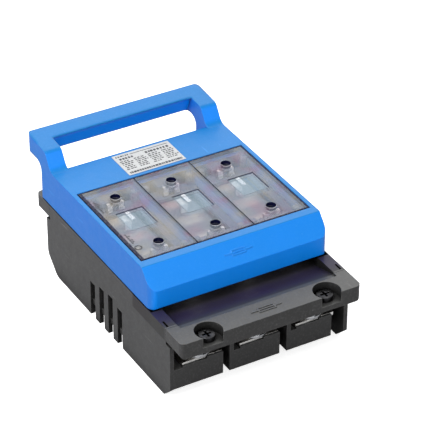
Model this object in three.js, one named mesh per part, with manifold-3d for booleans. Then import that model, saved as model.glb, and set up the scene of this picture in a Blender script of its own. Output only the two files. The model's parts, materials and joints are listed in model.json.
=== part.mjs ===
// Three-pole fuse-switch disconnector for size 00 blade fuses: a black base with six jaw contacts
// and a blue hinged lid that carries the three fuse links and pulls them out of the jaws.
//
// Frame: millimetres, +Z away from the mounting plate, +Y towards the handle, +X to the right when
// the handle is at the top. The origin is the middle of the base's footprint on its mounting plane.

import * as THREE from "three";
import { mergeVertices } from "three/addons/utils/BufferGeometryUtils.js";
import Module from "manifold-3d";

const wasm = await Module();
wasm.setup();

// ---------------------------------------------------------------- driving dimensions

const POLES = { left: -33.5, middle: 0, right: 33.5 };
const ENDS = { front: -1, rear: 1 };
const SIDES = { left: -1, right: 1 };
const GAP = 0.2; // clearance between pieces that rest on each other

// base
const BASE_HALF_X = 53;
const BASE_HALF_Y = 68.7;
const BASE_TOP = 42.5;
const WALL = 2.4;
const FLOOR = [6.4, 9.4];
const DIVIDER_X = 17;
const DIVIDER_TOP = 38.5;
const PEDESTAL_TOP = 18;
const CROSS_WALL_Y = [49.2, 51.2];
const ARM_INNER_X = 46.3;
const ARM_THICK = 3;
const COVER_LINE_Y = 64.6; // where the side walls step down under the terminal covers
const RAMP = { outer: [67.3, 42], inner: [49.2, 37], thick: 2.2, shelf: 33 };
const VENT_WIDTH = 5.3;
const VENT_TOPS = [[-14.9, 23.1], [-4.6, 25.4], [5.4, 24.1], [15.6, 21.5]]; // y, z
const MOUNT_HOLE = { x: 33.5, y: 20, radius: 2.75, headRadius: 5.2, headDepth: 1.8, boss: 7 };

// terminal covers with their fixing screws
const COVER = { y: 80.7, bottom: 33.2, cornerRadius: 3, seat: 0.4, seatHalfX: 48 };
const POCKET = { x: 34.8, y: 75.9, radius: 7.5, floor: 36.3 };
const SCREW = { y: 74, shank: 2.4, hole: 2.7, headRadius: 4.4, head: 2.8, tip: 30.5 };

// terminals
const BOLT_Y = 60.3;
const TAB = { half: 11.5, z: [18.05, 20.05], end: 67.2 };
const TAB_LIP = { y: 67.4, xs: [-11.9, 2.1], low: 19.1, high: 20 }; // in front of each tab
const BOLT = { shank: 4, headAcross: 13, head: 5.3, tip: 11.4 };
const WASHER = { radius: 8, hole: 4.3, thick: 1.6 };
const NUT = { side: 13, thick: 6.4, hole: 4.25 };

// fuse links of size 00, lying along Y
const FUSE_Y = 1.4;
const FUSE_BODY = { halfX: 10.4, halfY: 22.95, z: [13, 53] };
const FUSE_PLATE = [23.05, 25.05];
const BLADE = { tip: 39.25, half: 3, z: [15, 30] };
const LUG = { half: 4.9, slot: 1.9, slotZ: [54.4, 59.2], top: 60.6, lip: 1.9, lipZ: [56.2, 57.4] };
const CARRIER = { halfX: 15.3, halfY: 28.9, z: [53.4, 55.8], openX: 10.8, openY: 20.5 };
const CARRIER_POST = { x: [11.6, 14.2], top: 61.8 };

// jaw contacts
const JAW = { from: 32.1, to: 44.1, inner: 3.15, thick: 2, z: [9.6, 31] };
const RISER = [46.6, 48.6];
const SPRING = { from: 35, back: [47.1, 48.1], thick: 1, z: [21, 28] };
const CHUTE = { y: [41.5, 48.9], half: 9.7, notch: 4.6, z: [31.5, 39] };

// lid
const HINGE = { y: -43.6, z: 47.9, pin: 1.5, hole: 1.62, eye: 2.7 };
const TROUGH = { radius: 7.45, outerX: 52.45, y: [-55, -32] }; // the lid's front edge turns in it
const LID_HALF_X = 52.6;
const LID_BOTTOM = 42.9;
const LID_TOP = 64.4;
const LID_WALL = 2.5;
const LID_FRONT_Y = -48.6;
const LID_BACK_Y = 73.7;
const HANDLE = { end: 90.8, top: 75.6, bottom: 64.6, cornerRadius: 4 };
const GRIP = { halfX: 42.75, front: 62.3, floor: 50, top: 78, brow: 75.2, lowBack: 83.5, cornerRadius: 2 };
const GRIP_EDGE = [80.6, 72.6, 3]; // the bar is chamfered from here up to its top
const WINDOW = { y: [-34.3, 37], halfX: 50.1, bottom: 62.2, gap: 0.45 };
const TEST_HOLE = { offset: 23.5, radius: 2.75 };
const RECESS = { halfX: 7.7, halfY: 8.5, depth: 0.4 };
const LEDGE = { z: [60.1, 62], width: 1.6 };
const FORK_X = [43, 45.6];
const EAR_X = [46.5, 49.6];
const LABEL = { x: [-17.2, 17.2], y: [39.2, 60.2], z: [64.43, 64.68] };

// ---------------------------------------------------------------- materials

const finish = (color, roughness, metalness = 0) =>
  new THREE.MeshStandardMaterial({ color, roughness, metalness, flatShading: true });

const blackPlastic = finish(0x2b2b2b, 0.38);
const bluePlastic = finish(0x2f86e8, 0.42);
const smokedPlastic = finish(0x8a93a3, 0.12);
const ceramic = finish(0xe9e2d4, 0.45);
const silveredCopper = finish(0xd8d6d0, 0.3, 1);
const zincSteel = finish(0xc9ccd0, 0.32, 1);
const blackenedSteel = finish(0x1c1c1e, 0.4, 1);
const springSteel = finish(0x8f9296, 0.35, 1);
const arcSteel = finish(0x6f7276, 0.5, 1);
const greyPlastic = finish(0x8d9199, 0.45);
const paper = finish(0xf2f2f0, 0.7);

// ---------------------------------------------------------------- solids

// A closed geometry as a manifold solid.
function solid(geometry) {
  geometry.deleteAttribute("normal");
  geometry.deleteAttribute("uv");
  const merged = mergeVertices(geometry, 1e-4);
  return new wasm.Manifold(
    new wasm.Mesh({
      numProp: 3,
      vertProperties: merged.attributes.position.array,
      triVerts: new Uint32Array(merged.index.array),
    }),
  );
}

// Corners [a, b, radius] as a closed outline, each rounded corner drawn as an arc.
function outline(corners) {
  const points = [];
  corners.forEach(([a, b, radius = 0], i) => {
    const here = new THREE.Vector2(a, b);
    if (!radius) return points.push(here);
    const before = new THREE.Vector2(...corners.at(i - 1)).sub(here).normalize();
    const after = new THREE.Vector2(...corners[(i + 1) % corners.length]).sub(here).normalize();
    const half = Math.acos(before.dot(after)) / 2;
    const middle = before.clone().add(after).normalize().multiplyScalar(radius / Math.sin(half));
    const centre = here.clone().add(middle);
    const first = here.clone().addScaledVector(before, radius / Math.tan(half)).sub(centre);
    const turn = Math.PI - 2 * half;
    const sense = Math.sign(before.cross(after)) * -1;
    const steps = Math.max(2, Math.ceil((turn / (Math.PI / 2)) * 6));
    for (let k = 0; k <= steps; k++) {
      const arm = first.clone().rotateAround(new THREE.Vector2(), (sense * turn * k) / steps);
      points.push(arm.add(centre));
    }
  });
  return new THREE.Shape(points);
}

// An outline pushed along one axis: its two coordinates are (y, z), (x, z) or (x, y).
const AXES = {
  x: [new THREE.Vector3(0, 1, 0), new THREE.Vector3(0, 0, 1), new THREE.Vector3(1, 0, 0)],
  y: [new THREE.Vector3(1, 0, 0), new THREE.Vector3(0, 0, 1), new THREE.Vector3(0, -1, 0)],
  z: [new THREE.Vector3(1, 0, 0), new THREE.Vector3(0, 1, 0), new THREE.Vector3(0, 0, 1)],
};

function prism(axis, shape, a, b) {
  const [low, high] = [Math.min(a, b), Math.max(a, b)];
  const geometry = new THREE.ExtrudeGeometry(shape, {
    depth: high - low,
    bevelEnabled: false,
    curveSegments: 16,
  });
  geometry.translate(0, 0, axis === "y" ? -high : low);
  geometry.applyMatrix4(new THREE.Matrix4().makeBasis(...AXES[axis]));
  return solid(geometry);
}

const extruded = (axis, corners, a, b) => prism(axis, outline(corners), a, b);

function block(xs, ys, zs) {
  const size = [xs, ys, zs].map(([a, b]) => Math.abs(b - a));
  const geometry = new THREE.BoxGeometry(...size);
  geometry.translate(...[xs, ys, zs].map(([a, b]) => (a + b) / 2));
  return solid(geometry);
}

// A round bar along an axis; centre holds the other two coordinates, in x, y, z order.
function rod(axis, [a, b], radius, from, to, segments = 24) {
  const corners = [];
  for (let k = 0; k < segments; k++) {
    const angle = ((k + 0.5) / segments) * 2 * Math.PI;
    corners.push([a + radius * Math.cos(angle), b + radius * Math.sin(angle)]);
  }
  return extruded(axis, corners, from, to);
}

const join = (parts) => parts.reduce((sum, part) => sum.add(part));
const cut = (body, tools) => tools.reduce((rest, tool) => rest.subtract(tool), body);
const mirrored = (values, sign) => values.map((value) => value * sign);
const both = (make) => [make(-1), make(1)];

function geometryOf(body) {
  const { vertProperties, triVerts } = body.getMesh();
  const geometry = new THREE.BufferGeometry();
  geometry.setAttribute("position", new THREE.BufferAttribute(vertProperties, 3));
  geometry.setIndex(new THREE.BufferAttribute(triVerts, 1));
  geometry.computeVertexNormals();
  return geometry;
}

function piece(group, name, body, material, x = 0) {
  const mesh = new THREE.Mesh(geometryOf(body), material);
  mesh.name = name;
  mesh.position.x = x;
  group.add(mesh);
}

// A rectangle with a line through it, the general drawing sign for a fuse, as a low relief.
function fuseSign(halfX, halfY, z) {
  const line = 0.7;
  const ring = cut(block([-halfX, halfX], [-halfY, halfY], z), [
    block([line - halfX, halfX - line], [line - halfY, halfY - line], [z[0] - 1, z[1] + 1]),
  ]);
  return ring.add(block([-halfX - 4, halfX + 4], [-line / 2, line / 2], z));
}

// ---------------------------------------------------------------- base

function baseSideWall(side) {
  const inner = BASE_HALF_X - WALL;
  const wall = extruded(
    "x",
    [
      [-BASE_HALF_Y, COVER.bottom - GAP],
      [-BASE_HALF_Y, 6.4],
      [-62, 0],
      [58, 0, 6],
      [BASE_HALF_Y, 10, 6],
      [BASE_HALF_Y, COVER.bottom - GAP],
      [COVER_LINE_Y, COVER.bottom - GAP],
      [COVER_LINE_Y, BASE_TOP],
      [-COVER_LINE_Y, BASE_TOP],
      [-COVER_LINE_Y, COVER.bottom - GAP],
    ],
    side * inner,
    side * BASE_HALF_X,
  );
  const half = VENT_WIDTH / 2;
  const vents = VENT_TOPS.map(([y, top]) =>
    block(mirrored([inner - 1, BASE_HALF_X + 1], side), [y - half, y + half], [-1, top]),
  );
  return cut(wall, vents);
}

// One end of the base: arms, ramp, cross wall and the three pedestals under the terminal tabs.
// At the front the ramp runs on as a level shelf over the jaws, under the lid.
function baseEnd(end) {
  const inner = BASE_HALF_X - WALL;
  const [wallNear, wallFar] = CROSS_WALL_Y;
  const slope = (RAMP.outer[1] - RAMP.inner[1]) / (RAMP.outer[0] - RAMP.inner[0]);
  const rampAt = (y) => RAMP.inner[1] + (y - RAMP.inner[0]) * slope;
  const rampPlate = (halfX, reach) =>
    extruded(
      "x",
      [
        [end * reach, rampAt(reach)],
        [end * reach, rampAt(reach) - RAMP.thick],
        [end * RAMP.inner[0], RAMP.inner[1] - RAMP.thick],
        [end * RAMP.inner[0], RAMP.inner[1]],
      ],
      -halfX,
      halfX,
    );
  const ramp = rampPlate(ARM_INNER_X - 2 * GAP, RAMP.outer[0]).add(
    rampPlate(ARM_INNER_X + 1, COVER_LINE_Y),
  );
  const shelf = block(
    [-ARM_INNER_X - 1, ARM_INNER_X + 1],
    [-RAMP.shelf, -RAMP.inner[0] - 0.5],
    [RAMP.inner[1] - RAMP.thick, RAMP.inner[1]],
  );
  const armFrom = end < 0 ? 28 : wallNear;
  const arms = both((side) =>
    block(
      mirrored([ARM_INNER_X, inner + 1], side),
      mirrored([armFrom, COVER_LINE_Y], end),
      [BASE_TOP - ARM_THICK, BASE_TOP],
    ),
  );
  const armWebs = both((side) =>
    block(
      mirrored([ARM_INNER_X, ARM_INNER_X + 1.6], side),
      mirrored([armFrom, COVER_LINE_Y], end),
      [RAMP.inner[1] - RAMP.thick, BASE_TOP - 1],
    ),
  );
  const crossWall = block(
    [-inner - 1, inner + 1],
    mirrored([wallNear, wallFar], end),
    [TAB.z[1] + 0.4, rampAt(wallNear) - 0.5],
  );
  const plates = end < 0 ? [ramp, shelf] : [ramp];
  return join([...plates, ...arms, ...armWebs, crossWall, ...pedestals(end)]);
}

// The solid seat of each tab closes the space from one divider to just past the tab, and a lip stands
// in front of the tab, low at its left and high at its right.
function pedestals(end) {
  const inner = BASE_HALF_X - WALL;
  const reach = { left: [-inner - 1, -22], middle: [-DIVIDER_X, 11.6], right: [DIVIDER_X, 43] };
  return Object.entries(POLES).map(([pole, x]) => {
    const seat = block(
      reach[pole],
      mirrored([CROSS_WALL_Y[0], BASE_HALF_Y], end),
      [FLOOR[0], PEDESTAL_TOP + 0.2],
    );
    const lipYs = mirrored([TAB_LIP.y, BASE_HALF_Y], end);
    const [lipFrom, lipStep] = TAB_LIP.xs.map((value) => x + value);
    const lips = [
      block([lipFrom, lipStep + 0.1], lipYs, [PEDESTAL_TOP - 1, TAB_LIP.low]),
      block([lipStep, reach[pole][1]], lipYs, [PEDESTAL_TOP - 1, TAB_LIP.high]),
    ];
    const tabChannel = block(
      [x - TAB.half - 0.6, x + TAB.half + 0.6],
      mirrored([CROSS_WALL_Y[0] - 1, TAB_LIP.y], end),
      [PEDESTAL_TOP, PEDESTAL_TOP + 3],
    );
    const nutSide = NUT.side / 2 + 0.25;
    const nutPocket = block(
      [x - nutSide, x + nutSide],
      [end * BOLT_Y - nutSide, end * BOLT_Y + nutSide],
      [BOLT.tip - 0.4, PEDESTAL_TOP + 1],
    );
    return cut(join([seat, ...lips]), [tabChannel, nutPocket]);
  });
}

// The arms are thicker under the lid's front corners, where a trough lets the lid's edge turn.
function thickArm(side) {
  return block(mirrored([ARM_INNER_X, BASE_HALF_X - 1], side), TROUGH.y, [RAMP.inner[1], BASE_TOP - 1]);
}

function trough(side) {
  const xs = mirrored([ARM_INNER_X - 1, TROUGH.outerX], side);
  return rod("x", [HINGE.y, HINGE.z], TROUGH.radius, ...xs, 48);
}

// The ear that a hinge pin runs in: a post on the arm with a beam reaching forward over the arm.
function hingeEar(side) {
  const xs = mirrored(EAR_X, side);
  const { y, z, eye } = HINGE;
  const beam = extruded(
    "x",
    [
      [y, z - 2.2],
      [y + 6.6, z - 2.2],
      [y + 6.6, BASE_TOP - 1],
      [y + 14.6, BASE_TOP - 1],
      [y + 14.6, z - 1, 1],
      [y + 10.6, z + eye, 2],
      [y, z + eye],
    ],
    ...xs,
  );
  const round = rod("x", [y, z], eye, ...xs);
  return cut(beam.add(round), [rod("x", [y, z], HINGE.hole, xs[0] - side, xs[1] + side)]);
}

function baseHousing() {
  const inner = BASE_HALF_X - WALL;
  const floor = block([-inner - 1, inner + 1], [-58, 58], FLOOR);
  const underRamp = RAMP.inner[1] - RAMP.thick / 2;
  const dividers = both((side) =>
    extruded(
      "x",
      [
        [-BASE_HALF_Y, FLOOR[0]],
        [BASE_HALF_Y, FLOOR[0]],
        [BASE_HALF_Y, COVER.bottom - 1.5],
        [COVER_LINE_Y - 2, DIVIDER_TOP],
        [RAMP.inner[0], underRamp],
        [RAMP.inner[0] - 1, DIVIDER_TOP],
        [1 - RAMP.shelf, DIVIDER_TOP],
        [1 - RAMP.shelf, underRamp],
        [-RAMP.inner[0], underRamp],
        [2 - COVER_LINE_Y, DIVIDER_TOP],
        [-BASE_HALF_Y, COVER.bottom - 1.5],
      ],
      side * DIVIDER_X - WALL / 2,
      side * DIVIDER_X + WALL / 2,
    ),
  );
  const longRibs = both((side) =>
    block([side * DIVIDER_X - 1.2, side * DIVIDER_X + 1.2], [-56, 56], [0, FLOOR[0] + 1]),
  );
  const crossRibs = [-MOUNT_HOLE.y, MOUNT_HOLE.y].map((y) =>
    block([-inner - 1, inner + 1], [y - 1.2, y + 1.2], [0, FLOOR[0] + 1]),
  );
  const middlePad = block([-12, 12], [-9, 9], [0, FLOOR[0] + 1]);
  const padRib = block([-DIVIDER_X, DIVIDER_X], [-1.2, 1.2], [0, FLOOR[0] + 1]);
  const holes = [];
  const bosses = [];
  for (const x of [-MOUNT_HOLE.x, MOUNT_HOLE.x])
    for (const y of [-MOUNT_HOLE.y, MOUNT_HOLE.y]) {
      bosses.push(rod("z", [x, y], MOUNT_HOLE.boss, 0, FLOOR[0] + 1));
      holes.push(rod("z", [x, y], MOUNT_HOLE.radius, -1, FLOOR[1] + 1));
      holes.push(rod("z", [x, y], MOUNT_HOLE.headRadius, FLOOR[1] - MOUNT_HOLE.headDepth, 12));
    }
  const body = join([
    baseSideWall(-1),
    baseSideWall(1),
    floor,
    ...dividers,
    ...longRibs,
    ...crossRibs,
    middlePad,
    padRib,
    ...bosses,
    baseEnd(-1),
    baseEnd(1),
    ...both(thickArm),
  ]);
  const latchSlots = [];
  for (const side of Object.values(SIDES))
    for (const end of Object.values(ENDS))
      latchSlots.push(
        block(
          mirrored([50.5, 51.6], side),
          mirrored([58.3, 63.4], end),
          [BASE_TOP - 2, BASE_TOP + 1],
        ),
      );
  return join([cut(body, [...holes, ...latchSlots, ...both(trough)]), ...both(hingeEar)]);
}

// ---------------------------------------------------------------- terminal covers

// A solid plate that overhangs the end of the base. Its ears rest on a panel with a low seat band,
// and two tongues hook under the arms of the base.
function terminalCover(end) {
  const sideBack = COVER_LINE_Y + GAP;
  const middleBack = RAMP.outer[0] + GAP;
  const armX = ARM_INNER_X - GAP;
  const plate = extruded(
    "z",
    [
      [-BASE_HALF_X, end * sideBack],
      [-BASE_HALF_X, end * COVER.y, COVER.cornerRadius],
      [BASE_HALF_X, end * COVER.y, COVER.cornerRadius],
      [BASE_HALF_X, end * sideBack],
      [armX, end * sideBack],
      [armX, end * middleBack],
      [-armX, end * middleBack],
      [-armX, end * sideBack],
    ],
    COVER.bottom,
    BASE_TOP,
  );
  // the lower corners of the front edge are rounded off
  const soften = extruded(
    "y",
    [
      [-BASE_HALF_X, COVER.bottom, 2.5],
      [BASE_HALF_X, COVER.bottom, 2.5],
      [BASE_HALF_X, BASE_TOP],
      [-BASE_HALF_X, BASE_TOP],
    ],
    end * (COVER_LINE_Y - 1),
    end * (COVER.y + 1),
  );
  const pockets = [];
  for (const side of Object.values(SIDES)) {
    pockets.push(
      rod("z", [side * POCKET.x, end * POCKET.y], POCKET.radius, POCKET.floor, BASE_TOP + 1, 32),
    );
    pockets.push(
      rod("z", [side * POCKET.x, end * SCREW.y], SCREW.hole, COVER.bottom - 1, POCKET.floor + 1),
    );
  }
  const seat = block(
    [-COVER.seatHalfX, COVER.seatHalfX],
    mirrored([BASE_HALF_Y + 0.5, COVER.y - 1.5], end),
    [COVER.bottom - COVER.seat, COVER.bottom + 1],
  );
  const sign = fuseSign(5, 2, [BASE_TOP - 0.3, BASE_TOP + 0.35]).translate([0, end * 74, 0]);
  const tongues = both((side) =>
    block(
      mirrored([48.2, 50.3], side),
      mirrored([COVER_LINE_Y + 3, COVER_LINE_Y - 3.5], end),
      [36.2, BASE_TOP - ARM_THICK - GAP],
    ),
  );
  return join([cut(plate.intersect(soften).add(seat), pockets), sign, ...tongues]);
}

function fixingScrew(side, end) {
  const centre = [side * POCKET.x, end * SCREW.y];
  const seat = POCKET.floor + 0.1;
  const top = seat + SCREW.head;
  const head = rod("z", centre, SCREW.headRadius, seat, top, 24);
  const shank = rod("z", centre, SCREW.shank, SCREW.tip, seat + 0.5, 16);
  const cross = both((turn) => {
    const [long, short] = [2.6, 0.55];
    const [halfX, halfY] = turn < 0 ? [long, short] : [short, long];
    return block(
      [centre[0] - halfX, centre[0] + halfX],
      [centre[1] - halfY, centre[1] + halfY],
      [top - 1.6, top + 1],
    );
  });
  return cut(head.add(shank), cross);
}

// ---------------------------------------------------------------- terminals and contacts

// Two jaw plates on a web, a riser, and the flat tab that the cable is bolted to, in one piece.
function contact(end) {
  const jawYs = [FUSE_Y + end * JAW.from, FUSE_Y + end * JAW.to];
  const outer = JAW.inner + JAW.thick;
  const web = block([-outer, outer], [jawYs[0], end * RISER[1]], [JAW.z[0], JAW.z[0] + 2]);
  const riser = block([-TAB.half, TAB.half], mirrored(RISER, end), [JAW.z[0], TAB.z[1]]);
  const tab = block([-TAB.half, TAB.half], mirrored([RISER[0], TAB.end], end), TAB.z);
  const jaws = both((side) =>
    extruded(
      "y",
      [
        [side * JAW.inner, JAW.z[0]],
        [side * outer, JAW.z[0]],
        [side * outer, 29],
        [side * (outer + 1.2), JAW.z[1]],
        [side * (JAW.inner + 1.2), JAW.z[1]],
        [side * JAW.inner, 28.4],
      ],
      ...jawYs,
    ),
  );
  const hole = rod("z", [0, end * BOLT_Y], 4.4, TAB.z[0] - 1, TAB.z[1] + 1);
  return cut(join([web, riser, tab, ...jaws]), [hole]);
}

// A flat steel clip that embraces both jaw plates and presses them together.
function jawSpring(end) {
  const inner = JAW.inner + JAW.thick + 0.1;
  const outer = inner + SPRING.thick;
  const from = FUSE_Y + end * (SPRING.from - FUSE_Y);
  const arms = both((side) =>
    block(mirrored([inner, outer], side), [from, end * SPRING.back[1]], SPRING.z),
  );
  return join([...arms, block([-outer, outer], mirrored(SPRING.back, end), SPRING.z)]);
}

function terminalBolt(end) {
  const seat = TAB.z[1] + WASHER.thick + 0.1;
  const corners = [];
  for (let k = 0; k < 6; k++) {
    const angle = ((k + 0.5) / 6) * 2 * Math.PI;
    const reach = BOLT.headAcross / Math.sqrt(3);
    corners.push([reach * Math.cos(angle), end * BOLT_Y + reach * Math.sin(angle)]);
  }
  const head = extruded("z", corners, seat, seat + BOLT.head);
  return head.add(rod("z", [0, end * BOLT_Y], BOLT.shank, BOLT.tip, seat + 0.5));
}

function terminalWasher(end) {
  const z = [TAB.z[1] + 0.05, TAB.z[1] + 0.05 + WASHER.thick];
  const disc = rod("z", [0, end * BOLT_Y], WASHER.radius, ...z, 32);
  return cut(disc, [rod("z", [0, end * BOLT_Y], WASHER.hole, z[0] - 1, z[1] + 1)]);
}

function terminalNut(end) {
  const half = NUT.side / 2;
  const top = PEDESTAL_TOP - 0.1;
  const body = block([-half, half], [end * BOLT_Y - half, end * BOLT_Y + half], [top - NUT.thick, top]);
  return cut(body, [rod("z", [0, end * BOLT_Y], NUT.hole, top - NUT.thick - 1, top + 1)]);
}

// Steel plates with an open slot for the blade, held in an insulating frame behind the rear jaws.
function arcChute() {
  const { y, half, notch, z } = CHUTE;
  const cheek = 1.2;
  const back = block([-half, half], [y[1] - cheek, y[1]], z);
  const cheeks = both((side) => block(mirrored([half - cheek, half], side), y, z));
  const plates = [];
  for (let level = z[0] + 0.8; level < z[1] - 1; level += 2)
    for (const side of Object.values(SIDES))
      plates.push(block(mirrored([notch, half - 0.5], side), y, [level, level + 1]));
  return join([back, ...cheeks, ...plates]);
}

// ---------------------------------------------------------------- fuse links and carriers

function fuseBody() {
  const { halfX, halfY, z } = FUSE_BODY;
  return extruded(
    "y",
    [
      [-halfX, z[0], 2.5],
      [halfX, z[0], 2.5],
      [halfX, z[1], 2.5],
      [-halfX, z[1], 2.5],
    ],
    FUSE_Y - halfY,
    FUSE_Y + halfY,
  );
}

// End plate, contact blade and gripping lug of one end of a fuse link.
function fuseBlade(end) {
  const at = (values) => values.map((value) => FUSE_Y + end * value);
  const plate = block([-9.8, 9.8], at(FUSE_PLATE), [14, 53]);
  const blade = block([-BLADE.half, BLADE.half], at([FUSE_PLATE[0] + 1, BLADE.tip]), BLADE.z);
  const lug = block([-LUG.half, LUG.half], at(FUSE_PLATE), [52, LUG.top]);
  const slot = block([-LUG.slot, LUG.slot], at([FUSE_PLATE[0] - 1, FUSE_PLATE[1] + 1]), LUG.slotZ);
  const y = (FUSE_PLATE[0] + FUSE_PLATE[1]) / 2;
  const lips = both((side) =>
    block(mirrored([LUG.slot + 0.4, LUG.half], side), at([y - LUG.lip, y + LUG.lip]), LUG.lipZ),
  );
  return join([plate, blade, cut(lug, [slot]), ...lips]);
}

// The frame that hangs a fuse link in the lid: it holds both lugs and hooks under the window ledge.
function fuseCarrier() {
  const { halfX, halfY, z, openX, openY } = CARRIER;
  const y = (value) => FUSE_Y + value;
  const hookZ = [57.6, 59.6];
  const frame = cut(block([-halfX, halfX], [y(-halfY), y(halfY)], z), [
    block([-openX, openX], [y(-openY), y(openY)], [z[0] - 1, z[1] + 1]),
  ]);
  const parts = [frame];
  const slots = [];
  const slotX = LUG.half + 0.4;
  for (const end of Object.values(ENDS)) {
    const at = (a, b) => [y(end * a), y(end * b)];
    const hookEnd = end < 0 ? WINDOW.y[0] - 1.1 : WINDOW.y[1] + 1.2;
    slots.push(block([-slotX, slotX], at(FUSE_PLATE[0] - 0.3, FUSE_PLATE[1] + 0.3), [50, 60]));
    parts.push(block([-6, 6], at(halfY - 2, halfY), [z[1] - 1, hookZ[1]]));
    parts.push(block([-6, 6], [y(end * (halfY - 2)), hookEnd], hookZ));
    for (const side of Object.values(SIDES))
      parts.push(
        block(mirrored(CARRIER_POST.x, side), at(halfY - 3, halfY), [z[1] - 1, CARRIER_POST.top]),
      );
  }
  return cut(join(parts), slots);
}

// ---------------------------------------------------------------- lid

function lidOutside() {
  const profile = extruded(
    "x",
    [
      [LID_FRONT_Y, LID_BOTTOM, 1],
      [LID_FRONT_Y, 54.1, 1],
      [-39.3, LID_TOP, 1],
      [62.4, LID_TOP, 6],
      [68.5, 74, 3.5],
      [HANDLE.end, HANDLE.top, 1],
      [HANDLE.end, HANDLE.bottom, 1.5],
      [LID_BACK_Y, HANDLE.bottom, 5.5],
      [LID_BACK_Y, LID_BOTTOM],
    ],
    -LID_HALF_X,
    LID_HALF_X,
  );
  const plan = extruded(
    "z",
    [
      [-LID_HALF_X, LID_FRONT_Y, 4.5],
      [LID_HALF_X, LID_FRONT_Y, 4.5],
      [LID_HALF_X, HANDLE.end, HANDLE.cornerRadius],
      [-LID_HALF_X, HANDLE.end, HANDLE.cornerRadius],
    ],
    LID_BOTTOM - 1,
    HANDLE.top + 1,
  );
  return profile.intersect(plan);
}

function gripOpening() {
  const { halfX, front, floor, top, brow, lowBack, cornerRadius } = GRIP;
  const through = extruded(
    "x",
    [
      [front, floor],
      [front, top],
      [brow, top],
      GRIP_EDGE,
      [lowBack, HANDLE.bottom],
      [lowBack, floor],
    ],
    -halfX,
    halfX,
  );
  const plan = extruded(
    "z",
    [
      [-halfX, front - 1],
      [halfX, front - 1],
      [halfX, lowBack, cornerRadius],
      [-halfX, lowBack, cornerRadius],
    ],
    floor - 1,
    top + 1,
  );
  const behind = block([-halfX, halfX], [LID_BACK_Y - 3, HANDLE.end + 2], [floor, HANDLE.bottom]);
  const before = block([-halfX, halfX], [front - 5, front + 1], [LID_TOP, top]);
  return join([through.intersect(plan), behind, before]);
}

function lidInside() {
  const inner = LID_HALF_X - LID_WALL;
  const ceiling = LID_TOP - LID_WALL;
  const [low, back] = [LID_BOTTOM - 5, LID_BACK_Y - LID_WALL];
  const frontInner = LID_FRONT_Y + 2;
  const main = extruded(
    "x",
    [
      [frontInner, low],
      [frontInner, 53.1],
      [-38.6, ceiling],
      [GRIP.front - LID_WALL, ceiling],
      [GRIP.front - LID_WALL, low],
    ],
    -inner,
    inner,
  );
  const plan = extruded(
    "z",
    [
      [-inner, frontInner, 0.5],
      [inner, frontInner, 0.5],
      [inner, back],
      [-inner, back],
    ],
    low - 1,
    LID_TOP + 1,
  );
  const underGrip = block([-inner, inner], [GRIP.front - LID_WALL - 1, back], [low, GRIP.floor - LID_WALL]);
  const legs = both((side) =>
    block(mirrored([GRIP.halfX + LID_WALL, inner], side), [GRIP.front - LID_WALL - 1, back], [low, ceiling]),
  );
  return join([main, underGrip, ...legs]).intersect(plan);
}

// The inner cheek that carries the hinge pin beside the base's ear.
function hingeFork(side) {
  const { y, z, hole } = HINGE;
  const cheek = extruded(
    "x",
    [
      [y - 3.5, z],
      [y - 3.5, 55],
      [y + 3, 61],
      [y + 9, LID_TOP - 1],
      [y + 9, 56],
      [y + 3.2, z + 3],
      [y + 3.2, z],
    ],
    ...mirrored(FORK_X, side),
  );
  const round = rod("x", [y, z], 3.4, ...mirrored(FORK_X, side));
  return cheek.add(round).subtract(rod("x", [y, z], hole, ...mirrored([FORK_X[0] - 1, 46], side)));
}

function lidFrame() {
  const inner = WINDOW.halfX;
  const [y0, y1] = WINDOW.y;
  const opening = block([-inner, inner], [y0, y1], [LEDGE.z[1] - 1, LID_TOP + 1]);
  const { width } = LEDGE;
  const ledge = cut(block([-inner - 1, inner + 1], [y0 - 2, y1 + 2], LEDGE.z), [
    block([width - inner, inner - width], [y0 + width, y1 - width], [50, LID_TOP + 1]),
  ]);
  const between = (POLES.middle + POLES.right) / 2;
  const ribs = both((side) =>
    block([side * between - 1, side * between + 1], [y0 - 1, y1 + 1], [53.5, LEDGE.z[1]]),
  );
  const pinSeats = both((side) =>
    rod("x", [HINGE.y, HINGE.z], HINGE.hole, ...mirrored([LID_HALF_X - LID_WALL - 1, 51.6], side)),
  );
  const slopeTilt = (Math.atan2(LID_TOP - 54.1, -39.3 - LID_FRONT_Y) * 180) / Math.PI;
  const sign = fuseSign(4, 1.6, [-0.3, 0.3])
    .rotate([slopeTilt, 0, 0])
    .translate([1, (LID_FRONT_Y - 39.3) / 2, (54.1 + LID_TOP) / 2]);
  const shell = cut(lidOutside(), [gripOpening(), lidInside(), opening]);
  return cut(join([shell, ledge, ...ribs, hingeFork(-1), hingeFork(1), sign]), pinSeats);
}

function windowPane(pole) {
  const between = (POLES.middle + POLES.right) / 2;
  const edge = WINDOW.halfX - WINDOW.gap;
  const x = POLES[pole];
  const low = Math.max(x - between, -edge);
  const high = Math.min(x + between, edge);
  const near = low === -edge ? 0 : WINDOW.gap / 2;
  const far = high === edge ? 0 : WINDOW.gap / 2;
  const [y0, y1] = WINDOW.y;
  const pane = block(
    [low + near - x, high - far - x],
    [y0 + WINDOW.gap, y1 - WINDOW.gap],
    [WINDOW.bottom, LID_TOP],
  );
  const recess = block(
    [-RECESS.halfX, RECESS.halfX],
    [FUSE_Y - RECESS.halfY, FUSE_Y + RECESS.halfY],
    [LID_TOP - RECESS.depth, LID_TOP + 1],
  );
  const holes = both((end) =>
    rod("z", [0, FUSE_Y + end * TEST_HOLE.offset], TEST_HOLE.radius, WINDOW.bottom - 1, LID_TOP + 1),
  );
  return cut(pane, [recess, ...holes]);
}

// ---------------------------------------------------------------- assembly

const disconnector = new THREE.Group();
const base = new THREE.Group();
const lid = new THREE.Group();
disconnector.add(base, lid);

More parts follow.
